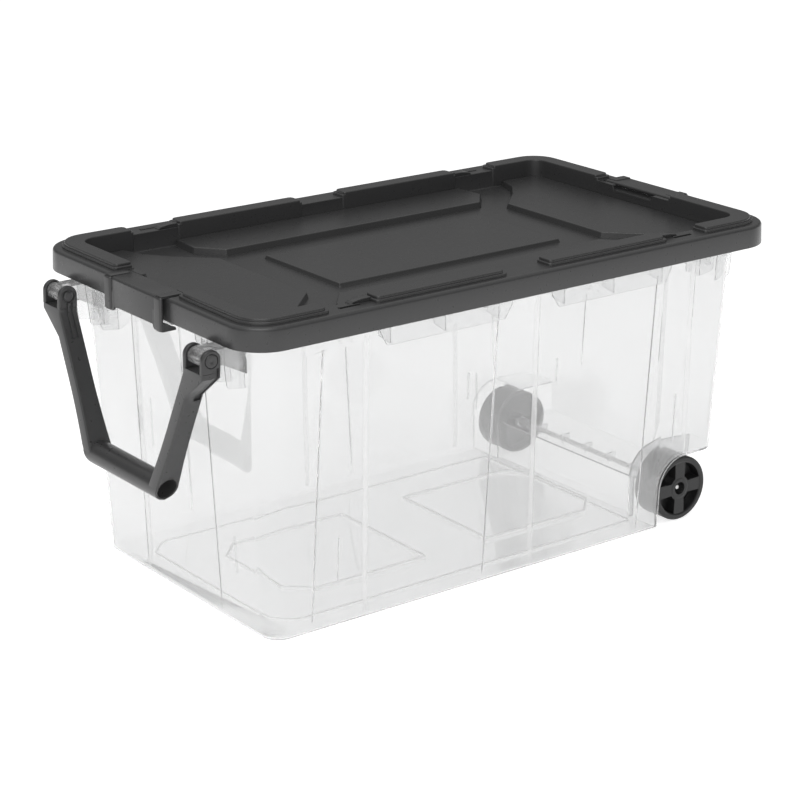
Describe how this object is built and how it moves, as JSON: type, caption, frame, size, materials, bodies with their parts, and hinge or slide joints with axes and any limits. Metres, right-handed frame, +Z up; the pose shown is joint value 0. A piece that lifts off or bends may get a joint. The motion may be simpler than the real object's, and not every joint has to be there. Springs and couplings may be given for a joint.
{
  "type": "wheeled storage tote",
  "caption": "Tapered clear plastic storage tote with a lift-off lid, over-centre end latches, a swinging pull handle and wheels on a steel axle at the far end.",
  "frame": {"origin": "bottom of the tub, at floor level, under the centre of the lid", "axes": "+X along the length from the pull handle towards the wheels, +Y to the left of someone looking along +X, +Z up"},
  "size_m": [0.9725, 0.54, 0.466],
  "materials": {
    "clear_plastic": "clear polypropylene, lightly hazed",
    "grey_plastic": "satin moulded",
    "black_plastic": "satin moulded",
    "axle_steel": "plain drawn rod"
  },
  "bodies": {
    "tub_body": {"tub": "clear_plastic", "axle": "axle_steel", "axle_cap_left": "axle_steel", "axle_cap_right": "axle_steel", "handle_pin_left": "grey_plastic", "handle_pin_right": "grey_plastic"},
    "lid_body": {"lid": "grey_plastic"},
    "latch_handle_end": {"latch_handle_end": "grey_plastic"},
    "latch_wheel_end": {"latch_wheel_end": "grey_plastic"},
    "handle": {"pull_handle": "grey_plastic"},
    "wheel_left": {"wheel_left": "black_plastic"},
    "wheel_right": {"wheel_right": "black_plastic"}
  },
  "joints": [
    {"name": "lid_lift", "type": "slide", "parent": "tub_body", "child": "lid_body", "axis": [0, 0, 1], "range_m": [0, 0.35]},
    {"name": "latch_handle_end_hinge", "type": "hinge", "parent": "lid_body", "child": "latch_handle_end", "pos_m": [-0.4342, 0, 0.4565], "axis": [0, 1, 0], "range_deg": [0, 110]},
    {"name": "latch_wheel_end_hinge", "type": "hinge", "parent": "lid_body", "child": "latch_wheel_end", "pos_m": [0.4342, 0, 0.4565], "axis": [0, -1, 0], "range_deg": [0, 110]},
    {"name": "handle_swing", "type": "hinge", "parent": "tub_body", "child": "handle", "pos_m": [-0.4785, 0, 0.409], "axis": [0, 1, 0], "range_deg": [-10, 150]},
    {"name": "wheel_left_spin", "type": "hinge", "parent": "tub_body", "child": "wheel_left", "pos_m": [0.344, 0, 0.05], "axis": [0, 1, 0], "continuous": true},
    {"name": "wheel_right_spin", "type": "hinge", "parent": "tub_body", "child": "wheel_right", "pos_m": [0.344, 0, 0.05], "axis": [0, 1, 0], "continuous": true}
  ]
}
